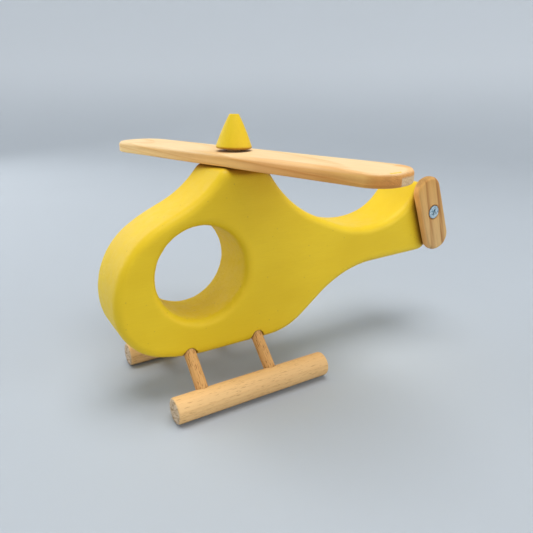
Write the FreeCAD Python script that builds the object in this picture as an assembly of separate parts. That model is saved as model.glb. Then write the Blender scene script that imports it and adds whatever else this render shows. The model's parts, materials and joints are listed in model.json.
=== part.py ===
import FreeCAD, Part
import math
import os

# Wooden toy helicopter, in millimetres.
# +X points aft (the nose is at -X), +Y to starboard and +Z up. The skids stand on Z = 0, and the
# origin is under the middle of the whole toy.

V = FreeCAD.Vector

# Fuselage: one board, sawn to an outline, bored and rounded over on both faces.
BOARD_THICKNESS = 37.0
ROUND_OVER = 5.0
BELLY_Z = 23.7
PYLON_TOP_Z = 124.1
FIN_TOP_Z = 103.5

# Cockpit hole: the window that a child holds the toy by.
COCKPIT_X = -64.6
COCKPIT_Z = 70.3
COCKPIT_RADIUS = 25.4

# Mast: a dowel glued into the pylon, which the main rotor turns on and the cap is glued to.
MAST_X = -35.7
MAST_RADIUS = 4.0
MAST_DEPTH_IN_PYLON = 24.0
MAST_DEPTH_IN_CAP = 10.0

# Main rotor: a thin pine slat whose ends are half rounds, but for one blunter corner.
MAIN_ROTOR_LENGTH = 212.2
MAIN_ROTOR_WIDTH = 32.6
MAIN_ROTOR_THICKNESS = 6.6
MAIN_ROTOR_CORNER = 16.2
MAIN_ROTOR_BLUNT_CORNER = 12.0
MAIN_ROTOR_UPPER_EDGE = 2.3
MAIN_ROTOR_LOWER_EDGE = 1.0
MAIN_ROTOR_GAP = 0.2
MAIN_ROTOR_REST_ANGLE = -76.3

# Cap: the bluntly pointed cone on top of the mast.
CAP_GAP = 0.9
CAP_HEIGHT = 18.3
CAP_BASE_RADIUS = 10.4
CAP_TOP_RADIUS = 2.6
CAP_SIDE_BULGE = 0.4
CAP_BASE_EDGE = 1.3
CAP_TOP_EDGE = 0.6
CAP_LEAN = 2.5

# Tail rotor: a short slat on the port side of the fin, held by one countersunk wood screw.
TAIL_HUB_X = 97.0
TAIL_HUB_Z = 85.3
TAIL_ROTOR_LENGTH = 51.8
TAIL_ROTOR_WIDTH = 20.0
TAIL_ROTOR_THICKNESS = 6.4
TAIL_ROTOR_CORNER = 9.2
TAIL_ROTOR_EDGE = 2.3
TAIL_ROTOR_HOLE_OFFSET = 1.7
TAIL_ROTOR_GAP = 0.8
TAIL_ROTOR_LEAN = 20.1

SCREW_SHANK_RADIUS = 2.0
SCREW_CORE_RADIUS = 1.35
SCREW_HEAD_RADIUS = 4.2
SCREW_HEAD_RIM = 0.35
SCREW_PLAIN_IN_FIN = 1.0
SCREW_THREAD_LENGTH = 18.0
SCREW_THREAD_PITCH = 1.8
THREAD_VALLEY_START = 0.3
THREAD_VALLEY_END = 0.7
SCREW_POINT_LENGTH = 4.0
RECESS_SPAN = 4.8
RECESS_SLOT = 1.1
RECESS_DEPTH = 1.7
RECESS_TAPER = 0.6
COUNTERSINK_CLEARANCE = 0.35

# Landing gear: two thick skid dowels, each on two thin strut dowels that lean inwards.
SKID_RADIUS = 7.2
SKID_LENGTH = 94.2
SKID_FRONT_X = {"port": -93.2, "starboard": -95.7}
SKID_Y = 35.8
SKID_END_EDGE = 1.6
STRUT_RADIUS = 3.6
STRUT_STATIONS = {"front": -74.9, "rear": -33.0}
STRUT_LEAN = 45.0
STRUT_LENGTH = 41.0

# Both rotors: running clearance on the radius.
RUNNING_CLEARANCE = 0.08

# The blunt corner takes the main rotor further to port than to starboard, so the finished toy is
# moved this far to starboard, which puts the middle of its box over the origin.
CENTRING_Y = 0.44

# A cutter runs this far past the face that it opens.
CUT_PAST = 1.0
PLANE_TOLERANCE = 1e-4

SIDES = {"port": -1, "starboard": 1}
SIDE_Y = BOARD_THICKNESS / 2
MAIN_ROTOR_Z = PYLON_TOP_Z + MAIN_ROTOR_GAP
CAP_Z = MAIN_ROTOR_Z + MAIN_ROTOR_THICKNESS + CAP_GAP

# Corners of the fuselage outline as (x, z, radius), from the belly round the nose, up the pylon
# and back along the saddle to the fin. Each corner is rounded with an arc of its radius.
FUSELAGE_CORNERS = [
    (-76.8, BELLY_Z, 94.0),
    (-111.1, 33.1, 31.0),
    (-115.1, 81.9, 43.0),
    (-85.8, 99.7, 87.0),
    (-62.3, 110.5, 58.0),
    (-50.8, PYLON_TOP_Z, 6.0),
    (-25.3, PYLON_TOP_Z, 6.0),
    (-8.8, 99.3, 68.0),
    (43.7, 77.5, 62.0),
    (76.7, 85.5, 38.0),
    (91.2, FIN_TOP_Z, 6.0),
    (101.2, FIN_TOP_Z, 7.0),
    (104.2, 57.1, 9.0),
    (30.7, 55.9, 69.0),
    (-11.3, BELLY_Z, 39.0),
]


def rounded_outline(corners, y):
    """A closed wire in the plane Y = y: straight runs joined by an arc at each corner."""
    points = [V(x, y, z) for x, z, radius in corners]
    arcs = []
    for i, (x, z, radius) in enumerate(corners):
        corner = points[i]
        to_last = (points[i - 1] - corner).normalize()
        to_next = (points[(i + 1) % len(points)] - corner).normalize()
        half_angle = to_last.getAngle(to_next) / 2
        tangent_length = radius / math.tan(half_angle)
        bisector = (to_last + to_next).normalize()
        middle = corner + bisector * (radius / math.sin(half_angle) - radius)
        arcs.append((corner + to_last * tangent_length, middle, corner + to_next * tangent_length))
    edges = []
    for i, (start, middle, end) in enumerate(arcs):
        edges.append(Part.Arc(start, middle, end).toShape())
        edges.append(Part.LineSegment(end, arcs[(i + 1) % len(arcs)][0]).toShape())
    return Part.Wire(edges)


def edges_in_plane(shape, axis, level):
    """The edges of a shape that lie whole in the plane axis = level."""
    found = []
    for edge in shape.Edges:
        box = edge.BoundBox
        low = getattr(box, axis + "Min")
        high = getattr(box, axis + "Max")
        if abs(low - level) < PLANE_TOLERANCE and abs(high - level) < PLANE_TOLERANCE:
            found.append(edge)
    return found


def strut_direction(side):
    """The unit vector up a strut, from the skid's axis towards the fuselage."""
    lean = math.radians(STRUT_LEAN)
    return V(0, -side * math.sin(lean), math.cos(lean))


def strut(side, x):
    """A strut dowel, from the skid's axis to the bottom of its hole in the fuselage."""
    foot = V(x, side * SKID_Y, SKID_RADIUS)
    return Part.makeCylinder(STRUT_RADIUS, STRUT_LENGTH, foot, strut_direction(side))


def screw_axis_point(depth):
    """The point on the tail screw's axis that lies this far inside the blade's outer face."""
    outer_y = -(SIDE_Y + TAIL_ROTOR_GAP + TAIL_ROTOR_THICKNESS)
    return V(TAIL_HUB_X, outer_y + depth, TAIL_HUB_Z)


def fuselage():
    """The board with its cockpit hole, rounded edges and the holes for dowels and screw."""
    face = Part.Face(rounded_outline(FUSELAGE_CORNERS, -SIDE_Y))
    body = face.extrude(V(0, BOARD_THICKNESS, 0))
    window = Part.makeCylinder(
        COCKPIT_RADIUS, BOARD_THICKNESS, V(COCKPIT_X, -SIDE_Y, COCKPIT_Z), V(0, 1, 0)
    )
    body = body.cut(window)
    rims = edges_in_plane(body, "Y", -SIDE_Y) + edges_in_plane(body, "Y", SIDE_Y)
    body = body.makeFillet(ROUND_OVER, rims)
    mast_hole_z = PYLON_TOP_Z - MAST_DEPTH_IN_PYLON
    holes = [Part.makeCylinder(MAST_RADIUS, MAST_DEPTH_IN_PYLON + CUT_PAST, V(MAST_X, 0, mast_hole_z))]
    for side in SIDES.values():
        for x in STRUT_STATIONS.values():
            holes.append(strut(side, x))
    blade_and_gap = TAIL_ROTOR_THICKNESS + TAIL_ROTOR_GAP
    screw_hole = Part.makeCylinder(
        SCREW_SHANK_RADIUS, SCREW_THREAD_LENGTH, screw_axis_point(blade_and_gap), V(0, 1, 0)
    )
    holes.append(screw_hole)
    for hole in holes:
        body = body.cut(hole)
    return body


def slat(length, width, thickness, corner, blunt_corner, lower_edge, upper_edge):
    """A flat slat centred on Z's axis with its long side along X, rounded corners and soft edges.

    The corner at +X and -Y has the radius blunt_corner, and the other three have the radius corner.
    """
    half_length = length / 2
    half_width = width / 2
    blank = Part.makeBox(length, width, thickness, V(-half_length, -half_width, 0))
    for x_sign, y_sign, radius in (
        (1, -1, blunt_corner),
        (1, 1, corner),
        (-1, -1, corner),
        (-1, 1, corner),
    ):
        place = V(x_sign * half_length, y_sign * half_width, thickness / 2)
        upright = min(blank.Edges, key=lambda edge: edge.CenterOfMass.distanceToPoint(place))
        blank = blank.makeFillet(radius, [upright])
    blank = blank.makeFillet(lower_edge, edges_in_plane(blank, "Z", 0))
    return blank.makeFillet(upper_edge, edges_in_plane(blank, "Z", thickness))


def main_rotor():
    """The main rotor slat with its running hole, lying on the pylon at its rest angle."""
    blade = slat(
        MAIN_ROTOR_LENGTH,
        MAIN_ROTOR_WIDTH,
        MAIN_ROTOR_THICKNESS,
        MAIN_ROTOR_CORNER,
        MAIN_ROTOR_BLUNT_CORNER,
        MAIN_ROTOR_LOWER_EDGE,
        MAIN_ROTOR_UPPER_EDGE,
    )
    blade = blade.cut(Part.makeCylinder(MAST_RADIUS + RUNNING_CLEARANCE, MAIN_ROTOR_THICKNESS))
    blade.rotate(V(0, 0, 0), V(0, 0, 1), MAIN_ROTOR_REST_ANGLE)
    blade.translate(V(MAST_X, 0, MAIN_ROTOR_Z))
    return blade


def mast():
    """The mast dowel, from the bottom of the pylon's hole to the bottom of the cap's hole."""
    foot_z = PYLON_TOP_Z - MAST_DEPTH_IN_PYLON
    length = CAP_Z + MAST_DEPTH_IN_CAP - foot_z
    return Part.makeCylinder(MAST_RADIUS, length, V(MAST_X, 0, foot_z))


def rotor_cap():
    """The cap: a blunt cone, glued on leaning slightly aft, with a blind hole for the mast."""
    base = V(CAP_BASE_RADIUS, 0, 0)
    top = V(CAP_TOP_RADIUS, 0, CAP_HEIGHT)
    along = (top - base).normalize()
    outward = V(along.z, 0, -along.x)
    middle = (base + top) * 0.5 + outward * CAP_SIDE_BULGE
    side = Part.Arc(base, middle, top).toShape()
    profile = Part.Wire([
        Part.LineSegment(V(0, 0, 0), base).toShape(),
        side,
        Part.LineSegment(top, V(0, 0, CAP_HEIGHT)).toShape(),
        Part.LineSegment(V(0, 0, CAP_HEIGHT), V(0, 0, 0)).toShape(),
    ])
    cone = Part.Face(profile).revolve(V(0, 0, 0), V(0, 0, 1), 360)
    cone = cone.makeFillet(CAP_BASE_EDGE, edges_in_plane(cone, "Z", 0))
    cone = cone.makeFillet(CAP_TOP_EDGE, edges_in_plane(cone, "Z", CAP_HEIGHT))
    cone.rotate(V(0, 0, CAP_HEIGHT / 2), V(0, 1, 0), CAP_LEAN)
    mast_hole = Part.makeCylinder(MAST_RADIUS, CUT_PAST + MAST_DEPTH_IN_CAP, V(0, 0, -CUT_PAST))
    cone = cone.cut(mast_hole)
    cone.translate(V(MAST_X, 0, CAP_Z))
    return cone


def tail_rotor():
    """The tail rotor slat with its running hole and countersink, leaning forwards at the top."""
    blade = slat(
        TAIL_ROTOR_LENGTH,
        TAIL_ROTOR_WIDTH,
        TAIL_ROTOR_THICKNESS,
        TAIL_ROTOR_CORNER,
        TAIL_ROTOR_CORNER,
        TAIL_ROTOR_EDGE,
        TAIL_ROTOR_EDGE,
    )
    blade.translate(V(TAIL_ROTOR_HOLE_OFFSET, 0, 0))
    hole_radius = SCREW_SHANK_RADIUS + RUNNING_CLEARANCE
    mouth_radius = SCREW_HEAD_RADIUS + COUNTERSINK_CLEARANCE
    cone_depth = mouth_radius - hole_radius
    rim_z = TAIL_ROTOR_THICKNESS - SCREW_HEAD_RIM
    blade = blade.cut(Part.makeCylinder(hole_radius, TAIL_ROTOR_THICKNESS))
    blade = blade.cut(Part.makeCone(hole_radius, mouth_radius, cone_depth, V(0, 0, rim_z - cone_depth)))
    blade = blade.cut(Part.makeCylinder(mouth_radius, SCREW_HEAD_RIM + CUT_PAST, V(0, 0, rim_z)))
    # Turn the slat's upper face to port, then stand it up with its top leaning to the nose.
    blade.rotate(V(0, 0, 0), V(1, 0, 0), 90)
    blade.rotate(V(0, 0, 0), V(0, 1, 0), 90 - TAIL_ROTOR_LEAN)
    blade.translate(V(TAIL_HUB_X, -(SIDE_Y + TAIL_ROTOR_GAP), TAIL_HUB_Z))
    return blade


def screw_profile():
    """Half the screw's outline as (radius, depth) points, from the head's face to the point."""
    cone_end = SCREW_HEAD_RIM + SCREW_HEAD_RADIUS - SCREW_SHANK_RADIUS
    thread_start = TAIL_ROTOR_THICKNESS + TAIL_ROTOR_GAP + SCREW_PLAIN_IN_FIN
    thread_end = TAIL_ROTOR_THICKNESS + TAIL_ROTOR_GAP + SCREW_THREAD_LENGTH - SCREW_POINT_LENGTH
    points = [
        (0, 0),
        (SCREW_HEAD_RADIUS, 0),
        (SCREW_HEAD_RADIUS, SCREW_HEAD_RIM),
        (SCREW_SHANK_RADIUS, cone_end),
        (SCREW_SHANK_RADIUS, thread_start),
    ]
    turns = int((thread_end - thread_start) / SCREW_THREAD_PITCH)
    for turn in range(turns):
        start = thread_start + turn * SCREW_THREAD_PITCH
        points.append((SCREW_CORE_RADIUS, start + THREAD_VALLEY_START * SCREW_THREAD_PITCH))
        points.append((SCREW_CORE_RADIUS, start + THREAD_VALLEY_END * SCREW_THREAD_PITCH))
        points.append((SCREW_SHANK_RADIUS, start + SCREW_THREAD_PITCH))
    points.append((SCREW_CORE_RADIUS, thread_end + SCREW_THREAD_PITCH / 2))
    points.append((0, thread_end + SCREW_POINT_LENGTH))
    return points


def tail_screw():
    """The countersunk wood screw with its cross recess, a shank, thread rings and a point."""
    outline = [V(radius, depth, 0) for radius, depth in screw_profile()]
    face = Part.Face(Part.makePolygon(outline + [outline[0]]))
    screw = face.revolve(V(0, 0, 0), V(0, 1, 0), 360)
    # Each slot of the recess is a wedge: full width at the face, narrower at the bottom.
    for turn in (0, 90):
        half_span = RECESS_SPAN / 2
        half_bottom = half_span - RECESS_DEPTH * RECESS_TAPER
        corners = [
            V(-half_span, 0, 0),
            V(half_span, 0, 0),
            V(half_bottom, RECESS_DEPTH, 0),
            V(-half_bottom, RECESS_DEPTH, 0),
        ]
        slot_face = Part.Face(Part.makePolygon(corners + [corners[0]]))
        slot_face.translate(V(0, 0, -RECESS_SLOT / 2))
        slot = slot_face.extrude(V(0, 0, RECESS_SLOT))
        slot.rotate(V(0, 0, 0), V(0, 1, 0), turn)
        screw = screw.cut(slot)
    screw.rotate(V(0, 0, 0), V(0, 1, 0), TAIL_ROTOR_LEAN)
    screw.translate(screw_axis_point(0))
    return screw


def skid(side, front_x):
    """A skid dowel with softened ends and the blind holes for its two struts."""
    start = V(front_x, side * SKID_Y, SKID_RADIUS)
    dowel = Part.makeCylinder(SKID_RADIUS, SKID_LENGTH, start, V(1, 0, 0))
    rims = edges_in_plane(dowel, "X", front_x) + edges_in_plane(dowel, "X", front_x + SKID_LENGTH)
    dowel = dowel.makeFillet(SKID_END_EDGE, rims)
    for x in STRUT_STATIONS.values():
        dowel = dowel.cut(strut(side, x))
    return dowel


def main():
    parts = {
        "fuselage": fuselage(),
        "mast": mast(),
        "main_rotor": main_rotor(),
        "rotor_cap": rotor_cap(),
        "tail_rotor": tail_rotor(),
        "tail_screw": tail_screw(),
    }
    for name, side in SIDES.items():
        parts[name + "_skid"] = skid(side, SKID_FRONT_X[name])
        for station, x in STRUT_STATIONS.items():
            parts[name + "_" + station + "_strut"] = strut(side, x)
    os.makedirs("parts", exist_ok=True)
    for node, shape in parts.items():
        shape.translate(V(0, CENTRING_Y, 0))
        shape.exportStep("parts/" + node + ".step")


main()
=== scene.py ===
import itertools
import json
import math

import bpy
import numpy as np
from mathutils import Matrix, Vector


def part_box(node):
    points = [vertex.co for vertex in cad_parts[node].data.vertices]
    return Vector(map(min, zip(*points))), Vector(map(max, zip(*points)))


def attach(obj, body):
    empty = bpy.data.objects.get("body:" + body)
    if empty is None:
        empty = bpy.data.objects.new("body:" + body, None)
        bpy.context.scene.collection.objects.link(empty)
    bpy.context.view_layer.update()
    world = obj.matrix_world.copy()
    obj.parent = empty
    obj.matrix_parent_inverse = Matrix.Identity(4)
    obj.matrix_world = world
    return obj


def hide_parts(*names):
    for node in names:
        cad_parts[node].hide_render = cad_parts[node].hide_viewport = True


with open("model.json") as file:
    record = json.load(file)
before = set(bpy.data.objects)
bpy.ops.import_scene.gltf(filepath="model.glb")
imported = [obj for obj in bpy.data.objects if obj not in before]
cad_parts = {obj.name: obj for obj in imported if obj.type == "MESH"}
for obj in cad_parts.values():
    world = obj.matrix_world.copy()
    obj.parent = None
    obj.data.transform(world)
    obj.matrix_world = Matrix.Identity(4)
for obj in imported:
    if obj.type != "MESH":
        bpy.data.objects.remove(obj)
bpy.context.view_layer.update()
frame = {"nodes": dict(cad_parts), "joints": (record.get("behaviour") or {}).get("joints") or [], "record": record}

MM = 0.001

# ---------------------------------------------------------------- places and sizes


def centre(node):
    """The middle of a CAD node's box."""
    low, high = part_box(node)
    return (low + high) / 2


def joint(name):
    """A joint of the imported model, by name."""
    return next(j for j in frame["joints"] if j["name"] == name)


MAST_AXIS = Vector(joint("main_rotor_spin")["pos_m"])
TAIL_AXIS = Vector(joint("tail_rotor_spin")["pos_m"])
WINDOW = next(m for m in frame["record"]["mounts"] if m["name"] == "cockpit_hole")
WINDOW_CENTRE = Vector(WINDOW["pos_m"])
WINDOW_RADIUS = WINDOW["dims"]["r_mm"] * MM
MAIN_ROTOR_TURN = math.radians(-76.3)
TAIL_ROTOR_LEAN = math.radians(20.1)
STRUT_LEAN = math.radians(45)

# The main rotor's outline in millimetres from the mast: half its width, and the middle of its blunt
# corner, along and across the slat.
HALF_SLAT = 16.3
BLUNT_CORNER = (94.1, -4.3)
BLUNT_RADIUS = 12.0

# ---------------------------------------------------------------- random fields on points

LATTICE_FACTORS = (374761393, 668265263, 1103515245)
SEED_FACTOR = 974634777
MIXING_FACTOR = 1274126177
LOW_BITS = 0xFFFF


def lattice_values(cell, seed):
    """A repeatable random number from -1 to 1 for each whole-number lattice point."""
    mixed = sum(cell[:, i] * factor for i, factor in enumerate(LATTICE_FACTORS)) + seed * SEED_FACTOR
    mixed = (mixed ^ (mixed >> 13)) * MIXING_FACTOR
    mixed = mixed ^ (mixed >> 16)
    return (mixed & LOW_BITS) / (LOW_BITS / 2) - 1


def noise(points, seed):
    """Smooth random values from -1 to 1, with one lattice cell per unit of the points."""
    cell = np.floor(points).astype(np.int64)
    along = points - cell
    along = along * along * (3 - 2 * along)
    total = np.zeros(len(points))
    for corner in itertools.product((0, 1), repeat=3):
        weight = np.prod(np.where(corner, along, 1 - along), axis=1)
        total += weight * lattice_values(cell + np.array(corner), seed)
    return total


def layered_noise(points, seed, layers):
    """Noise with finer and weaker layers added."""
    return sum(noise(points * 2**i, seed + i) / 2**i for i in range(layers))


def smooth_step(low, high, value):
    """0 below low, 1 above high and smooth between."""
    t = np.clip((value - low) / (high - low), 0, 1)
    return t * t * (3 - 2 * t)


# ---------------------------------------------------------------- dense meshes of the CAD shapes

CALM_SHARE = 0.35
CALM_PASSES = 2
SPREAD_PASSES = 3


def dense_copy(node, name, cell):
    """A new object with the shape of a CAD node on an even mesh of cells this wide."""
    seed = bpy.data.objects.new("seed_" + name, frame["nodes"][node].data.copy())
    bpy.context.scene.collection.objects.link(seed)
    remesh = seed.modifiers.new("even_mesh", "REMESH")
    remesh.mode = "VOXEL"
    remesh.voxel_size = cell
    calm = seed.modifiers.new("calm", "SMOOTH")
    calm.factor = CALM_SHARE
    calm.iterations = CALM_PASSES
    mesh = bpy.data.meshes.new_from_object(seed.evaluated_get(bpy.context.evaluated_depsgraph_get()))
    bpy.data.objects.remove(seed)
    mesh.name = name
    mesh.materials.clear()
    mesh.polygons.foreach_set("use_smooth", np.ones(len(mesh.polygons), bool))
    piece = bpy.data.objects.new(name, mesh)
    bpy.context.scene.collection.objects.link(piece)
    return piece


def read_points(mesh):
    """A mesh's vertex places and normals as two arrays."""
    places = np.empty(len(mesh.vertices) * 3, np.float32)
    mesh.vertices.foreach_get("co", places)
    normals = np.empty(len(mesh.vertices) * 3, np.float32)
    mesh.vertex_normals.foreach_get("vector", normals)
    return places.reshape(-1, 3).astype(float), normals.reshape(-1, 3).astype(float)


def keep_field(mesh, name, values):
    """Stores one number, or one vector, per vertex for the material to read."""
    kind = "FLOAT" if values.ndim == 1 else "FLOAT_VECTOR"
    attribute = mesh.attributes.new(name, kind, "POINT")
    attribute.data.foreach_set("value" if values.ndim == 1 else "vector", values.astype(np.float32).ravel())


def push(mesh, places, normals, height):
    """Moves each vertex along its normal by a height in millimetres."""
    mesh.vertices.foreach_set("co", (places + normals * height[:, None] * MM).astype(np.float32).ravel())
    mesh.update()


def convexity(mesh, places, normals):
    """About 1 on edges that stick out, 0 on flats and below 0 in hollows."""
    pairs = np.empty(len(mesh.edges) * 2, np.int32)
    mesh.edges.foreach_get("vertices", pairs)
    pairs = pairs.reshape(-1, 2)
    count = np.bincount(pairs.ravel(), minlength=len(places))[:, None]
    middle = np.zeros_like(places)
    np.add.at(middle, pairs[:, 0], places[pairs[:, 1]])
    np.add.at(middle, pairs[:, 1], places[pairs[:, 0]])
    bulge = np.einsum("ij,ij->i", places - middle / np.maximum(count, 1), normals)
    for _ in range(SPREAD_PASSES):
        spread = np.zeros(len(places))
        np.add.at(spread, pairs[:, 0], bulge[pairs[:, 1]])
        np.add.at(spread, pairs[:, 1], bulge[pairs[:, 0]])
        bulge = 0.5 * bulge + 0.5 * spread / np.maximum(count[:, 0], 1)
    return bulge / (np.percentile(np.abs(bulge), 97) + 1e-9)


# ---------------------------------------------------------------- the wood's grain

RING_WANDER = (1.6, 1.2)         # how far the rings drift across and up, in millimetres
RING_WAVE = 0.25                 # how far one ring waves, in millimetres
RING_COUNT = 400
RING_WIDTH_SPREAD = 0.35
RING_WANDER_SCALE = np.array([1 / 90, 1 / 24, 1 / 24])
RING_WAVE_SCALE = np.array([1 / 30, 1 / 5, 1 / 5])


def board_axes(along, up):
    """Rows: the grain's direction, the direction across it and the direction nearest to up."""
    along = Vector(along).normalized()
    across = Vector(up).cross(along).normalized()
    return np.array([along, across, along.cross(across)])


def grain_points(places, origin, axes):
    """Places in the board's own axes, in millimetres from its origin."""
    return (places - np.array(origin)) @ axes.T / MM


def ring_field(grain, pith, drift, spacing, seed):
    """Growth rings as a field that rises by one per ring, from the distance to the pith line.

    pith is the pith's place (across, up) and drift is how far it wanders per millimetre along the grain.
    """
    slow = grain * RING_WANDER_SCALE
    across = grain[:, 1] - pith[0] - drift[0] * grain[:, 0] + RING_WANDER[0] * noise(slow, seed)
    up = grain[:, 2] - pith[1] - drift[1] * grain[:, 0] + RING_WANDER[1] * noise(slow + 7.3, seed)
    distance = np.hypot(across, up) + RING_WAVE * noise(grain * RING_WAVE_SCALE, seed + 3)
    rings = np.arange(RING_COUNT)
    spread = lattice_values(np.stack([rings, rings * 0, rings * 0], axis=1), seed)
    widths = spacing * (1 + RING_WIDTH_SPREAD * spread)
    return np.interp(distance, np.cumsum(widths), rings.astype(float))


def late_wood(rings):
    """How far each place is into the dark part of its ring, from 0 to 1."""
    share = rings - np.floor(rings)
    return smooth_step(0.45, 0.9, share) * (1 - smooth_step(0.93, 1.0, share))


# ---------------------------------------------------------------- material building blocks

# The Mix node's colour sockets: it has sockets of other kinds with the same names.
COLOUR_A = 6
COLOUR_B = 7
COLOUR_RESULT = 2
OPENNESS_SAMPLES = 8


def scaled(colour, *factors):
    """A colour with each channel multiplied by its factor, at most 1."""
    return tuple(min(1.0, channel * factor) for channel, factor in zip(colour, factors))


def shaded(colour, factor):
    """A colour with all its channels multiplied by one factor, at most 1."""
    return scaled(colour, factor, factor, factor)


class Shader:
    """A material with a Principled surface, and short calls that add nodes to it."""

    def __init__(self, name, **surface):
        self.material = bpy.data.materials.new(name)
        self.material.use_nodes = True
        self.nodes = self.material.node_tree.nodes
        self.links = self.material.node_tree.links
        self.surface = self.nodes["Principled BSDF"]
        for socket, value in surface.items():
            self.surface.inputs[socket].default_value = value

    def put(self, value, socket):
        """Joins an output to a socket, or sets the socket to a plain value."""
        if isinstance(value, bpy.types.NodeSocket):
            self.links.new(value, socket)
        else:
            socket.default_value = value

    def field(self, name, vector=False):
        """A field stored on the mesh."""
        node = self.nodes.new("ShaderNodeAttribute")
        node.attribute_name = name
        return node.outputs["Vector" if vector else "Fac"]

    def places(self):
        """The place on the object, in metres."""
        return self.nodes.new("ShaderNodeTexCoord").outputs["Object"]

    def height(self, vector):
        """The third part of a vector."""
        node = self.nodes.new("ShaderNodeSeparateXYZ")
        self.put(vector, node.inputs[0])
        return node.outputs["Z"]

    def math(self, operation, a, b=0.0):
        """A sum on one or two values."""
        node = self.nodes.new("ShaderNodeMath")
        node.operation = operation
        for value, socket in zip((a, b), node.inputs):
            self.put(value, socket)
        return node.outputs[0]

    def times(self, a, b):
        """The product of two values."""
        return self.math("MULTIPLY", a, b)

    def stretch(self, vector, scale, shift=(0, 0, 0)):
        """A vector with its parts multiplied by scale and moved by shift."""
        node = self.nodes.new("ShaderNodeMapping")
        self.put(vector, node.inputs["Vector"])
        node.inputs["Scale"].default_value = scale
        node.inputs["Location"].default_value = shift
        return node.outputs[0]

    def turned(self, vector, degrees):
        """The vector turned about its first axis, the grain's direction."""
        node = self.nodes.new("ShaderNodeMapping")
        self.put(vector, node.inputs["Vector"])
        node.inputs["Rotation"].default_value = (math.radians(degrees), 0, 0)
        return node.outputs[0]

    def openness(self, reach):
        """1 in the open and less where other surfaces within reach (in millimetres) stand close."""
        node = self.nodes.new("ShaderNodeAmbientOcclusion")
        node.samples = OPENNESS_SAMPLES
        node.inputs["Distance"].default_value = reach * MM
        return node.outputs["AO"]

    def noise(self, vector, scale, detail=2.0, rough=0.5):
        """Cloudy random values around 0.5."""
        node = self.nodes.new("ShaderNodeTexNoise")
        self.put(vector, node.inputs["Vector"])
        node.inputs["Scale"].default_value = scale
        node.inputs["Detail"].default_value = detail
        node.inputs["Roughness"].default_value = rough
        return node.outputs["Fac"]

    def cells(self, vector, scale):
        """The distance to the nearest of many scattered points."""
        node = self.nodes.new("ShaderNodeTexVoronoi")
        self.put(vector, node.inputs["Vector"])
        node.inputs["Scale"].default_value = scale
        return node.outputs["Distance"]

    def shuffled(self, value):
        """A random number from 0 to 1 that belongs to a value."""
        node = self.nodes.new("ShaderNodeTexWhiteNoise")
        node.noise_dimensions = "1D"
        self.put(value, node.inputs["W"])
        return node.outputs["Value"]

    def band(self, value, low, high, to_low=0.0, to_high=1.0):
        """Smoothly maps a value from low..high to to_low..to_high."""
        node = self.nodes.new("ShaderNodeMapRange")
        node.interpolation_type = "SMOOTHSTEP"
        for entry, socket in zip((value, low, high, to_low, to_high), node.inputs):
            self.put(entry, socket)
        return node.outputs[0]

    def blend(self, share, a, b, how="MIX"):
        """Colour a with a share of colour b."""
        node = self.nodes.new("ShaderNodeMix")
        node.data_type = "RGBA"
        node.blend_type = how
        self.put(share, node.inputs["Factor"])
        self.put(a if isinstance(a, bpy.types.NodeSocket) else (*a, 1), node.inputs[COLOUR_A])
        self.put(b if isinstance(b, bpy.types.NodeSocket) else (*b, 1), node.inputs[COLOUR_B])
        return node.outputs[COLOUR_RESULT]

    def bump(self, height, depth, under=None):
        """Relief this many millimetres deep, on top of another bump if one is given."""
        node = self.nodes.new("ShaderNodeBump")
        node.inputs["Strength"].default_value = 1.0
        node.inputs["Distance"].default_value = depth * MM
        self.put(height, node.inputs["Height"])
        if under is not None:
            self.put(under, node.inputs["Normal"])
        return node.outputs[0]

    def finish(self, colour, roughness, normal):
        """Joins the results to the surface and gives the material."""
        self.put(colour, self.surface.inputs["Base Color"])
        self.put(roughness, self.surface.inputs["Roughness"])
        self.put(normal, self.surface.inputs["Normal"])
        return self.material


# ---------------------------------------------------------------- paint

PAINT_DEEP = (0.840, 0.560, 0.011)
PAINT_BRIGHT = (0.905, 0.622, 0.018)
PAINT_FIBRE = (0.76, 0.47, 0.012)
PAINT_RUBBED = (0.95, 0.74, 0.22)
PAINT_PIT = (0.50, 0.30, 0.03)
# Painted shade: the brown mixed into the paint where other surfaces stand close.
YELLOW_PAINTED_SHADE = (0.34, 0.13, 0.012)
PAINT_ON_RAW = (0.93, 0.97, 0.70)
# How far the paint's painted shade reaches, in millimetres.
YELLOW_PAINTED_SHADE_REACH = 12.0


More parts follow.
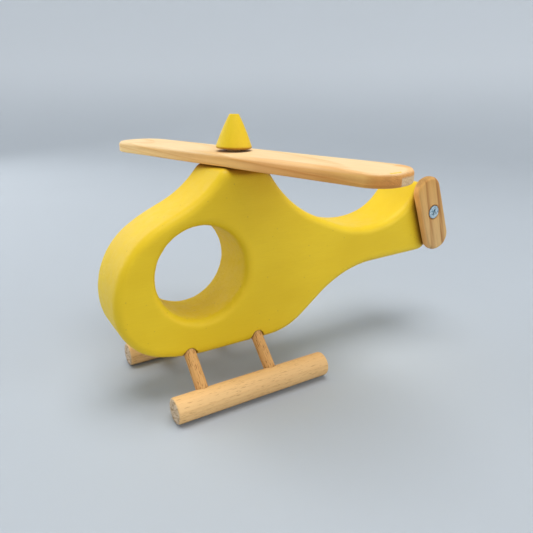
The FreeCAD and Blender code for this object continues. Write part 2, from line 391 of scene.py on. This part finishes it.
def yellow_paint():
    """Satin paint brushed on sanded wood: faint fibres and pits show through it, edges are rubbed, and a painted
    brown shade darkens it where other surfaces stand close.
    """
    s = Shader("yellow_paint")
    grain = s.field("grain", vector=True)
    s.surface.inputs["Specular IOR Level"].default_value = 0.30
    patches = s.noise(s.stretch(grain, (0.018, 0.03, 0.03)), 1.0, 2.0)
    fibres = s.noise(s.stretch(grain, (0.10, 1.9, 1.9)), 1.0, 3.0, 0.6)
    peel = s.noise(grain, 0.75, 2.0, 0.55)
    pits = s.band(s.cells(grain, 0.16), 0.05, 0.09, 1.0, 0.0)
    rubbed = s.times(s.band(s.field("edge"), 0.75, 1.5), s.band(peel, 0.45, 0.7))
    colour = s.blend(s.band(patches, 0.3, 0.7), PAINT_DEEP, PAINT_BRIGHT)
    colour = s.blend(s.band(fibres, 0.35, 0.75, 0.0, 0.22), colour, PAINT_FIBRE)
    colour = s.blend(s.times(rubbed, 0.30), colour, PAINT_RUBBED)
    colour = s.blend(s.times(pits, 0.35), colour, PAINT_PIT)
    colour = s.blend(s.field("raw"), colour, s.blend(1.0, colour, PAINT_ON_RAW, "MULTIPLY"))
    # Painted shade: a dark brown is mixed in where other surfaces stand close, as under the main rotor and beside
    # the tail rotor.
    painted_shade = s.band(s.openness(YELLOW_PAINTED_SHADE_REACH), 0.42, 0.84, 0.85, 0.0)
    colour = s.blend(painted_shade, colour, YELLOW_PAINTED_SHADE)
    roughness = s.band(s.noise(grain, 0.22, 3.0), 0.25, 0.75, 0.40, 0.54)
    roughness = s.math("ADD", roughness, s.times(s.field("raw"), 0.12))
    raw_relief = s.noise(s.stretch(grain, (0.9, 0.35, 0.9)), 1.0, 4.0, 0.65)
    normal = s.bump(fibres, 0.045)
    normal = s.bump(peel, 0.05, normal)
    normal = s.bump(s.times(raw_relief, s.field("raw")), 0.45, normal)
    return s.finish(colour, roughness, normal)


# ---------------------------------------------------------------- bare wood

# The noise level where flecks begin is lower in wood with more flecks.
FLECK_START = 0.66
FLECK_SPREAD = 0.08
FLECK_SOFTNESS = 0.1
# The directions of the saw marks and of the marks that cross them, in degrees, and their pace along the
# grain, along a mark and across it.
SAW_TURN = 25
CROSSING_TURN = -50
SAW_PACE = (0.3, 0.16, 1.05)
# How far the bare wood's painted shade reaches, in millimetres.
WOOD_PAINTED_SHADE_REACH = 4.0


def dark_rings(s, ring_edge):
    """How dark each growth ring is, with rings of uneven strength."""
    rings = s.field("rings")
    share = s.math("FRACT", rings)
    dark = s.times(s.band(share, ring_edge, 0.90), s.band(share, 0.92, 1.0, 1.0, 0.0))
    return s.times(dark, s.band(s.shuffled(s.math("FLOOR", rings)), 0.0, 1.0, 0.55, 1.0))


def flecked(s, grain, colour, late, fleck):
    """Short dark dashes along the grain, on the sides only."""
    dashes = s.noise(s.stretch(grain, (0.26, 2.3, 2.3), (11, 5, 2)), 1.0, 1.0, 0.4)
    start = FLECK_START - FLECK_SPREAD * fleck
    dashes = s.band(dashes, start, start + FLECK_SOFTNESS)
    side_on = s.band(s.field("end"), 0.2, 0.5, 1.0, 0.0)
    return s.blend(s.times(s.times(dashes, side_on), fleck), colour, scaled(late, 0.64, 0.49, 0.38))


def saw_marks(s, grain, width):
    """Two crossing sets of saw marks on the end grain, this many millimetres wide."""
    pace = (SAW_PACE[0], SAW_PACE[1] / width, SAW_PACE[2] / width)
    marks = s.noise(s.stretch(s.turned(grain, SAW_TURN), pace, (2, 9, 4)), 1.0, 2.0, 0.6)
    crossing = s.noise(s.stretch(s.turned(grain, CROSSING_TURN), pace, (5, 1, 8)), 1.0, 2.0, 0.6)
    return s.math("MINIMUM", marks, crossing)


def end_grain(s, saw, dark, pores, tint, sawn):
    """The colour of a sawn end: grooves and crests of the saw, rings and pores."""
    groove = scaled(tint, 1 - 0.30 * sawn, 1 - 0.42 * sawn, 1 - 0.55 * sawn)
    colour = s.blend(s.band(saw, 0.30, 0.55), groove, shaded(tint, 1 + 0.2 * sawn))
    colour = s.blend(s.times(dark, 0.35), colour, shaded(tint, 0.7))
    return s.blend(s.times(pores, 0.45), colour, shaded(tint, 0.55))


def bare_wood(name, early, late, end_tint, ring_strength, ring_edge=0.45, fleck=0.0, saw_width=0.7,
              sawn=0.35):
    """Sanded bare wood from the ring field, with fibres, pores, flecks, saw-marked end grain, the piece's tint
    field, and painted shade where other surfaces stand close.

    ring_strength is how dark the rings are and ring_edge where their dark part begins. fleck is how dark
    and how common the flecks are. saw_width is in millimetres and sawn is the saw marks' contrast.
    """
    s = Shader(name)
    s.surface.inputs["Specular IOR Level"].default_value = 0.28
    grain = s.field("grain", vector=True)
    end = s.band(s.field("end"), 0.55, 0.9)
    dark = dark_rings(s, ring_edge)
    fibres = s.noise(s.stretch(grain, (0.055, 2.6, 2.6)), 1.0, 4.0, 0.62)
    streaks = s.noise(s.stretch(grain, (0.012, 0.42, 0.42), (3, 1, 4)), 1.0, 2.0)
    blotch = s.noise(grain, 0.035, 2.0)
    pores = s.band(s.cells(s.stretch(grain, (0.5, 1, 1)), 2.4), 0.16, 0.34, 1.0, 0.0)
    saw = saw_marks(s, grain, saw_width)
    lighter = shaded(early, 1.10)
    colour = s.blend(s.times(dark, ring_strength), early, late)
    colour = s.blend(s.band(streaks, 0.35, 0.70, 0.0, 0.45), colour, lighter)
    colour = s.blend(s.band(fibres, 0.50, 0.85, 0.0, 0.55), colour, shaded(late, 0.78))
    colour = s.blend(s.band(blotch, 0.35, 0.75, 0.0, 0.20), colour, late)
    if fleck:
        colour = flecked(s, grain, colour, late, fleck)
    colour = s.blend(end, colour, end_grain(s, saw, dark, pores, end_tint, sawn))
    colour = s.blend(s.band(s.field("edge"), 0.8, 1.8, 0.0, 0.35), colour, lighter)
    colour = s.blend(1.0, colour, s.field("tint", vector=True), "MULTIPLY")
    # Painted shade: a dark wood colour is mixed in where other surfaces stand close, as at the joints.
    painted_shade = s.band(s.openness(WOOD_PAINTED_SHADE_REACH), 0.35, 0.75, 0.5, 0.0)
    colour = s.blend(painted_shade, colour, shaded(late, 0.3))
    roughness = s.math("ADD", s.band(fibres, 0.3, 0.8, 0.52, 0.68), s.times(end, 0.16))
    normal = s.bump(fibres, 0.10)
    normal = s.bump(s.times(dark, s.math("SUBTRACT", 1.0, end)), 0.06, normal)
    normal = s.bump(s.times(s.math("SUBTRACT", saw, pores), end), 0.16, normal)
    return s.finish(colour, roughness, normal)


# ---------------------------------------------------------------- metal

# The zinc's blue is partly the plating's own cast and partly a painted blue reflection.
ZINC_DEEP_WITH_BLUE_REFLECTION = (0.38, 0.52, 0.60)
ZINC_BRIGHT_WITH_BLUE_REFLECTION = (0.78, 0.90, 0.93)
ZINC_MARK = (0.30, 0.36, 0.40)


def zinc_steel():
    """Bright zinc plate: cool blue, partly the plating's own cast and partly a painted blue reflection; slightly
    patchy, with fine turning marks on the head.
    """
    s = Shader("zinc_steel", Metallic=1.0)
    places = s.places()
    patches = s.noise(places, 900.0, 3.0, 0.6)
    marks = s.noise(s.stretch(places, (1, 0.2, 1)), 5200.0, 2.0)
    colour = s.blend(s.band(patches, 0.35, 0.7), ZINC_DEEP_WITH_BLUE_REFLECTION, ZINC_BRIGHT_WITH_BLUE_REFLECTION)
    colour = s.blend(s.band(marks, 0.55, 0.8, 0.0, 0.4), colour, ZINC_MARK)
    roughness = s.band(patches, 0.3, 0.75, 0.24, 0.42)
    return s.finish(colour, roughness, s.bump(marks, 0.02))


PAINT = yellow_paint()
PINE = bare_wood("pine", early=(0.92, 0.61, 0.31), late=(0.78, 0.43, 0.15), end_tint=(0.86, 0.57, 0.29),
                 ring_strength=0.8, ring_edge=0.62)
STRIPED_PINE = bare_wood("striped_pine", early=(0.76, 0.45, 0.165), late=(0.44, 0.18, 0.045),
                         end_tint=(0.56, 0.33, 0.13), ring_strength=1.0)
BEECH = bare_wood("beech", early=(0.88, 0.55, 0.235), late=(0.75, 0.40, 0.145), end_tint=(0.60, 0.46, 0.31),
                  ring_strength=0.45, fleck=0.5, saw_width=1.3, sawn=1.25)
DARK_BEECH = bare_wood("dark_beech", early=(0.75, 0.41, 0.14), late=(0.56, 0.27, 0.075),
                       end_tint=(0.42, 0.30, 0.18), ring_strength=0.5, fleck=0.95)
ZINC = zinc_steel()

# ---------------------------------------------------------------- tints of the bare wood, partly painted light and shade

# Colour factors at places in millimetres along the slat. The main rotor's side factors are partly the wood's own
# colour and partly painted shade.
MAIN_SIDE_PLACES = (-80, -50, -20, 10, 35, 60, 78, 95, 100, 104)
MAIN_SIDE_TINTS_AND_SHADE = ((1.11, 1.13, 0.94), (1.06, 1.01, 0.76), (0.97, 0.86, 0.61), (1.04, 0.91, 0.55),
                   (0.93, 0.73, 0.45), (0.86, 0.61, 0.33), (0.80, 0.58, 0.28), (0.84, 0.66, 0.33),
                   (0.76, 0.50, 0.22), (0.78, 0.50, 0.23))
# How much the upper half of the sides changes: partly the wood's own colour and partly painted shade.
MAIN_SIDE_UPPER_TINT_AND_SHADE = np.array((0.12, 0.19, 0.28))
# The main rotor's upper face made paler: partly the wood's own colour and partly a painted highlight.
MAIN_TOP_TINT_AND_HIGHLIGHT = np.array((1.0, 1.09, 1.15))
EDGE_BAND_DARKENING = np.array((0.03, 0.19, 0.36))
SAWN_END_TINT = np.array((0.90, 0.94, 1.02))
YELLOW_RUB_TINT = np.array((0.92, 0.95, 0.04))
YELLOW_RUB_STRENGTH = 0.9
TAIL_PLACES = (-25, 0, 24)
TAIL_TINTS = ((0.98, 1.04, 1.14), (0.98, 0.97, 0.94), (1.0, 0.90, 0.68))
# Painted light: the tail rotor's edges made paler and warmer, as if lit by light reflected from the yellow body.
TAIL_SIDE_PAINTED_BOUNCE = np.array((0.24, 0.16, 0.16))
SCREW_RIM_DARKENING = np.array((0.25, 0.40, 0.55))


def even_tint(grain, facing):
    """No change of colour."""
    return np.ones((len(grain), 3))


def stops_along(grain, stops, colours):
    """A colour that changes along the grain through the given stops."""
    return np.stack([np.interp(grain[:, 0], stops, row) for row in zip(*colours)], axis=1)


def towards(tint, goal, share):
    """A tint moved towards a goal by a share of the way at each place."""
    return tint + share[:, None] * (goal - tint)


def main_side_tint_and_shade(grain, along, up):
    """The sides' colour, partly the wood's own and partly painted shade: darker towards the near tip, and the
    upper half darker at the far tip and lighter at the near one.
    """
    lift = np.interp(along, (25, 60, 95), (-0.7, 0.7, 1.7)) * smooth_step(-0.6, 1.4, up)
    return stops_along(grain, MAIN_SIDE_PLACES, MAIN_SIDE_TINTS_AND_SHADE) * (1 + lift[:, None] * MAIN_SIDE_UPPER_TINT_AND_SHADE)


def edge_band(along, across, from_corner):
    """1 in a tan band that follows the near edge and the blunt corner, with its width in millimetres."""
    from_edge = np.where(along < BLUNT_CORNER[0], across + HALF_SLAT, BLUNT_RADIUS - from_corner)
    width = np.interp(along, (0, 45, 75, 92, 100), (0.5, 6.0, 4.5, 2.2, 0.3))
    return (1 - smooth_step(width - 1.2, width + 0.8, from_edge)) * smooth_step(5, 40, along)


def sawn_end(along, across, up):
    """1 on the pale sawn place at the near tip."""
    below = 1 - smooth_step(0.3, 0.9, up)
    return smooth_step(104, 104.4, along) * smooth_step(-5.0, -4.6, across) * below


def yellow_rub(along, across, from_corner):
    """1 on a thin curved rub of paint near the blunt corner's edge, between two angles in degrees."""
    angle = np.degrees(np.arctan2(across - BLUNT_CORNER[1], along - BLUNT_CORNER[0]))
    rub = smooth_step(-33, -30, angle) * (1 - smooth_step(0, 3, angle))
    return rub * smooth_step(10.5, 10.65, from_corner) * (1 - smooth_step(11.05, 11.2, from_corner))


def main_rotor_tint(grain, facing):
    """Darker sides and a paler top, partly the wood's own colour and partly painted shade and highlight; a tan
    band on the upper face, the near tip's sawn end and a rub of yellow paint.
    """
    along, across, up = (grain + 0.15 * noise(grain / 1.1, 78)[:, None]).T
    side = 1 - smooth_step(0.25, 0.75, facing[:, 2])
    from_corner = np.hypot(along - BLUNT_CORNER[0], across - BLUNT_CORNER[1])
    # Paler top and darker sides: partly the wood's own colour and partly painted highlight and shade.
    tint = MAIN_TOP_TINT_AND_HIGHLIGHT * (1 - side[:, None]) + side[:, None] * main_side_tint_and_shade(grain, along, up)
    band = edge_band(along, across, from_corner) * (1 - side)
    tint *= 1 - band[:, None] * EDGE_BAND_DARKENING
    tint = towards(tint, SAWN_END_TINT, sawn_end(along, across, up))
    rub = yellow_rub(along, across, from_corner) * (facing[:, 2] > 0.3)
    return towards(tint, YELLOW_RUB_TINT, YELLOW_RUB_STRENGTH * rub)


def tail_rotor_tint(grain, facing):
    """Paler and greyer at the lower end, with sides made paler and warmer by painted light reflected from the
    yellow body, and a dark rim round the screw.
    """
    tint = stops_along(grain, TAIL_PLACES, TAIL_TINTS)
    side = smooth_step(0.5, 0.9, np.abs(facing[:, 1]))
    # Painted reflected light on the sides.
    tint *= 1 + side[:, None] * TAIL_SIDE_PAINTED_BOUNCE
    out = np.hypot(grain[:, 0], grain[:, 1])
    rim = smooth_step(4.1, 4.4, out) * (1 - smooth_step(4.9, 5.5, out)) * (facing[:, 2] > 0.5)
    return tint * (1 - rim[:, None] * SCREW_RIM_DARKENING)


# ---------------------------------------------------------------- the pieces

# Lattice cells per millimetre along the grain, across it and up.
WOOD_WAVES = np.array([1 / 28, 1 / 9, 1 / 9])
WOOD_FIBRES = np.array([0.12, 1.1, 1.1])
WOOD_FACETS = np.array([1 / 80, 1 / 4, 1 / 4])
PAINT_WAVES = np.array([1 / 34, 1 / 17, 1 / 17])
PAINT_RIDGES = np.array([1 / 22, 1 / 2.1, 1 / 2.1])
PAINT_SAW_MARKS = np.array([0.06, 0.75, 0.06])
PAINT_ROUGH_WIDTH = 2.3
# Heights of the painted surface's marks, in millimetres.
RIDGE_HEIGHT = 0.03
ROUGH_HEIGHT = 0.12
SAW_MARK_HEIGHT = 0.05


def settle(piece, node, body, material):
    """Gives a finished piece its material and its body, and hides the CAD node it stands for."""
    piece.data.materials.append(material)
    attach(piece, body)
    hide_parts(node)


def wooden_piece(node, name, body, material, cell, origin, axes, rings, relief, waviness, seed,
                 tint=even_tint, facets=0.0):
    """A bare wooden piece: dense mesh, sanded unevenness, long facets and raised late wood."""
    piece = dense_copy(node, name, cell)
    mesh = piece.data
    places, normals = read_points(mesh)
    grain = grain_points(places, origin, axes)
    field = ring_field(grain, *rings, seed)
    facing = normals @ axes.T
    wave = layered_noise(grain * WOOD_WAVES, seed, 2)
    fine = noise(grain * WOOD_FIBRES, seed + 5)
    long_marks = noise(grain * WOOD_FACETS, seed + 8)
    height = waviness * (wave - 1.4) + facets * (long_marks - 1)
    height += relief * (late_wood(field) - 1) + 0.35 * relief * (fine - 1)
    keep_field(mesh, "grain", grain)
    keep_field(mesh, "rings", field)
    keep_field(mesh, "end", np.abs(facing[:, 0]))
    keep_field(mesh, "tint", tint(grain, facing))
    keep_field(mesh, "edge", convexity(mesh, places, normals))
    push(mesh, places, normals, height)
    settle(piece, node, body, material)


def dents(grain, count, seed, low, high, depth):
    """Small round pits at random places inside a box, as a height field in millimetres."""
    picker = np.random.default_rng(seed)
    height = np.zeros(len(grain))
    for spot in picker.uniform(low, high, (count, 3)):
        radius = picker.uniform(0.8, 1.9)
        gap = np.linalg.norm(grain - spot, axis=1)
        height -= picker.uniform(0.4, 1.0) * depth * (1 - smooth_step(0.2 * radius, radius, gap))
    return height


def painted_piece(node, name, body, cell, origin, axes, waviness, raw, pits, seed):
    """A painted wooden piece: dense mesh with soft sanding waves, raised grain and a few pits."""
    piece = dense_copy(node, name, cell)
    mesh = piece.data
    places, normals = read_points(mesh)
    grain = grain_points(places, origin, axes)
    rawness = raw(places, normals)
    wave = layered_noise(grain * PAINT_WAVES, seed, 2)
    ridges = noise(grain * PAINT_RIDGES, seed + 9)
    rough = layered_noise(grain / PAINT_ROUGH_WIDTH, seed + 12, 2)
    marks = noise(grain * PAINT_SAW_MARKS, seed + 15)
    height = waviness * (wave - 1.5) + RIDGE_HEIGHT * (ridges - 1) + ROUGH_HEIGHT * rawness * (rough - 1.5)
    height += SAW_MARK_HEIGHT * rawness * (marks - 1) + pits(grain)
    keep_field(mesh, "grain", grain)
    keep_field(mesh, "raw", rawness)
    keep_field(mesh, "edge", convexity(mesh, places, normals))
    push(mesh, places, normals, height)
    settle(piece, node, body, PAINT)


def fuselage_raw(places, normals):
    """1 inside the cockpit hole, less on the sawn edges at nose and tail, 0 on the faces."""
    out = np.hypot(places[:, 0] - WINDOW_CENTRE.x, places[:, 2] - WINDOW_CENTRE.z)
    bore = 1 - smooth_step(WINDOW_RADIUS + 0.3 * MM, WINDOW_RADIUS + 2.5 * MM, out)
    sawn = smooth_step(0.6, 0.95, np.abs(normals[:, 0])) * 0.35
    return np.maximum(bore, sawn)


def fuselage_pits(grain):
    """Pits all over the board, and more of them in the cockpit hole."""
    low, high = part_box("fuselage")
    low = np.array(low - WINDOW_CENTRE) / MM
    high = np.array(high - WINDOW_CENTRE) / MM
    everywhere = dents(grain, 46, 11, low, high, 0.22)
    in_window = dents(grain, 60, 12, (-30, -16, -30), (30, 16, 30), 0.20)
    return everywhere + in_window


def cap_raw(places, normals):
    """A little raised grain all over the cap."""
    return np.full(len(places), 0.25)


def cap_pits(grain):
    """A few pits all over the cap."""
    return dents(grain, 12, 5, (-9, -9, -9), (9, 9, 9), 0.16)


def build_fuselage():
    """The painted board, with its grain from nose to tail."""
    axes = board_axes((1, 0, 0), (0, 0, 1))
    painted_piece("fuselage", "painted_body", "airframe", 0.77 * MM, WINDOW_CENTRE, axes, waviness=0.07,
                  raw=fuselage_raw, pits=fuselage_pits, seed=21)


def build_cap():
    """The painted cone on the mast, with upright grain."""
    axes = board_axes((0, 0, 1), (1, 0, 0))
    painted_piece("rotor_cap", "painted_cap", "airframe", 0.28 * MM, centre("rotor_cap"), axes,
                  waviness=0.05, raw=cap_raw, pits=cap_pits, seed=31)


def build_main_rotor():
    """The long pine slat, with its grain from tip to tip."""
    along = (math.cos(MAIN_ROTOR_TURN), math.sin(MAIN_ROTOR_TURN), 0)
    axes = board_axes(along, (0, 0, 1))
    rings = ((-9.0, -56.2), (-0.03, -0.05), 3.4)
    wooden_piece("main_rotor", "pine_main_rotor", "main_rotor", PINE, 0.42 * MM, MAST_AXIS, axes,
                 rings, relief=0.05, waviness=0.05, seed=41, tint=main_rotor_tint)


def build_tail_rotor():
    """The short slat, cut so that a few wide rings show as stripes."""
    along = (-math.sin(TAIL_ROTOR_LEAN), 0, math.cos(TAIL_ROTOR_LEAN))
    axes = board_axes(along, (0, -1, 0))
    rings = ((-79.7, -9.0), (-0.09, 0.0), 8.6)
    wooden_piece("tail_rotor", "striped_tail_rotor", "tail_rotor", STRIPED_PINE, 0.30 * MM,
                 TAIL_AXIS, axes, rings, relief=0.10, waviness=0.05, seed=51, tint=tail_rotor_tint)


def build_skid(side, sign):
    """One thick dowel, lying along the toy."""
    node = side + "_skid"
    axes = board_axes((1, 0, 0), (0, 0, 1))
    rings = ((9.0, -16.0), (0.0, 0.01), 1.7)
    wooden_piece(node, "beech_" + node, "airframe", BEECH, 0.40 * MM, centre(node), axes, rings,
                 relief=0.03, waviness=0.06, seed=61 + sign, facets=0.05)


def build_strut(side, sign, station):
    """One thin dowel, leaning outwards from the board to its skid."""
    node = f"{side}_{station}_strut"
    along = (0, -sign * math.sin(STRUT_LEAN), math.cos(STRUT_LEAN))
    axes = board_axes(along, (1, 0, 0))
    rings = ((4.0, -11.0), (0.01, 0.0), 1.3)
    wooden_piece(node, "beech_" + node, "airframe", DARK_BEECH, 0.26 * MM, centre(node), axes,
                 rings, relief=0.03, waviness=0.09, seed=71 + sign + len(station), facets=0.03)


def build_landing_gear():
    """A skid and two struts on each side."""
    for side, sign in (("port", -1), ("starboard", 1)):
        build_skid(side, sign)
        for station in ("front", "rear"):
            build_strut(side, sign, station)


def build_mast():
    """The dowel that the main rotor turns on."""
    axes = board_axes((0, 0, 1), (1, 0, 0))
    rings = ((4.0, -11.0), (0.0, 0.0), 1.4)
    wooden_piece("mast", "beech_mast", "airframe", BEECH, 0.35 * MM, centre("mast"), axes, rings,
                 relief=0.01, waviness=0.01, seed=81)


def finish_screw():
    """The screw keeps its CAD shape and gets its plating."""
    screw = frame["nodes"]["tail_screw"]
    screw.data.materials.clear()
    screw.data.materials.append(ZINC)


build_fuselage()
build_cap()
build_main_rotor()
build_tail_rotor()
build_landing_gear()
build_mast()
finish_screw()

# ---------------------------------------------------------------- floor

FLOOR_RADIUS = 0.9
FLAT_RINGS = 4
RIM_RADIUS = 1.0
RIM_RINGS = 24
WALL_TOP = 2.2
SPOKES = 96
FLOOR_DEEP = (0.44, 0.48, 0.52)
FLOOR_PALE = (0.47, 0.51, 0.55)
WALL_COLOUR = (0.64, 0.68, 0.72)
WALL_START = 0.25                # how high the floor's colour has wholly turned into the wall's
FLOOR_ROUGHNESS = 0.85


def floor_profile():
    """The radius and height of each ring: flat, then a quarter circle up, then a wall."""
    profile = [(FLOOR_RADIUS * i / FLAT_RINGS, 0.0) for i in range(FLAT_RINGS + 1)]
    for i in range(1, RIM_RINGS + 1):
        turn = math.pi / 2 * i / RIM_RINGS
        profile.append((FLOOR_RADIUS + RIM_RADIUS * math.sin(turn), RIM_RADIUS * (1 - math.cos(turn))))
    profile.append((FLOOR_RADIUS + RIM_RADIUS, WALL_TOP))
    return profile


def floor_mesh():
    """A round mesh of rings and spokes through the profile."""
    rings = floor_profile()[1:]
    points = [(0, 0, 0)]
    for radius, height in rings:
        for k in range(SPOKES):
            turn = 2 * math.pi * k / SPOKES
            points.append((radius * math.cos(turn), radius * math.sin(turn), height))
    faces = [(0, 1 + k, 1 + (k + 1) % SPOKES) for k in range(SPOKES)]
    for ring in range(len(rings) - 1):
        start = 1 + ring * SPOKES
        for k in range(SPOKES):
            after = (k + 1) % SPOKES
            faces.append((start + k, start + SPOKES + k, start + SPOKES + after, start + after))
    mesh = bpy.data.meshes.new("floor")
    mesh.from_pydata(points, [], faces)
    mesh.polygons.foreach_set("use_smooth", np.ones(len(mesh.polygons), bool))
    return mesh


def pale_floor():
    """Matt and faintly cloudy, and paler up the wall."""
    s = Shader("pale_floor")
    places = s.places()
    colour = s.blend(s.noise(places, 3.0, 2.0), FLOOR_DEEP, FLOOR_PALE)
    colour = s.blend(s.band(s.height(places), 0.0, WALL_START), colour, WALL_COLOUR)
    return s.finish(colour, FLOOR_ROUGHNESS, s.bump(s.noise(places, 900.0), 0.02))


def build_floor():
    """A pale round floor whose far rim curves up, so that no horizon shows."""
    floor = bpy.data.objects.new("floor", floor_mesh())
    floor.data.materials.append(pale_floor())
    bpy.context.scene.collection.objects.link(floor)


# ---------------------------------------------------------------- light

# Name, place in metres, width in metres and power in watts.
LIGHTS = (
    ("overhead", (0.0, -0.10, 2.05), 1.75, 37.0),
    ("fill_port", (-0.05, -1.0, 0.6), 0.8, 1.0),
    ("fill_tail", (0.85, -1.25, 0.75), 0.8, 4.2),
    ("fill_nose", (-0.8, 0.6, 0.35), 0.8, 2.2),
    ("fill_starboard", (-0.2, 0.9, 0.45), 0.8, 1.4),
)
LIGHT_AIM = Vector((0, 0, 0.05))
WORLD_COLOUR = (0.9, 0.95, 1.0, 1)
WORLD_STRENGTH = 0.02


def area_light(name, place, size, power):
    """A round soft light that the camera doesn't see."""
    light = bpy.data.lights.new(name, "AREA")
    light.shape = "DISK"
    light.size = size
    light.energy = power
    lamp = bpy.data.objects.new(name, light)
    lamp.location = place
    lamp.rotation_mode = "QUATERNION"
    lamp.rotation_quaternion = (LIGHT_AIM - Vector(place)).to_track_quat("-Z", "Y")
    lamp.visible_camera = False
    bpy.context.scene.collection.objects.link(lamp)


def build_light():
    """A large soft light overhead, soft fill on all sides and a faint sky."""
    for light in LIGHTS:
        area_light(*light)
    world = bpy.data.worlds.new("studio")
    world.use_nodes = True
    sky = world.node_tree.nodes["Background"]
    sky.inputs["Color"].default_value = WORLD_COLOUR
    sky.inputs["Strength"].default_value = WORLD_STRENGTH
    bpy.context.scene.world = world


# ---------------------------------------------------------------- camera

CAMERA_AZIMUTH = math.radians(-30.96)
CAMERA_ELEVATION = math.radians(19.08)
CAMERA_ROLL = math.radians(-0.39)
CAMERA_DISTANCE = 0.30915
CAMERA_TARGET = Vector((-0.0160, 0.00044, 0.0608))
SENSOR_WIDTH = 36                # in millimetres, and so is the lens
LENS = 34.52
NEAREST = 0.01


def build_camera():
    """The camera at the photograph's angle."""
    camera = bpy.data.cameras.new("camera")
    camera.sensor_width = SENSOR_WIDTH
    camera.lens = LENS
    camera.clip_start = NEAREST
    view = bpy.data.objects.new("camera", camera)
    level = math.cos(CAMERA_ELEVATION)
    back = Vector((math.sin(CAMERA_AZIMUTH) * level, -math.cos(CAMERA_AZIMUTH) * level,
                   math.sin(CAMERA_ELEVATION)))
    right = Vector((math.cos(CAMERA_AZIMUTH), math.sin(CAMERA_AZIMUTH), 0))
    up = back.cross(right)
    turned_right = right * math.cos(CAMERA_ROLL) + up * math.sin(CAMERA_ROLL)
    turned_up = up * math.cos(CAMERA_ROLL) - right * math.sin(CAMERA_ROLL)
    turn = Matrix((turned_right, turned_up, back)).transposed()
    view.matrix_world = Matrix.Translation(CAMERA_TARGET + back * CAMERA_DISTANCE) @ turn.to_4x4()
    bpy.context.scene.collection.objects.link(view)
    bpy.context.scene.camera = view


build_floor()
build_light()
build_camera()
bpy.context.scene.view_settings.view_transform = "Standard"
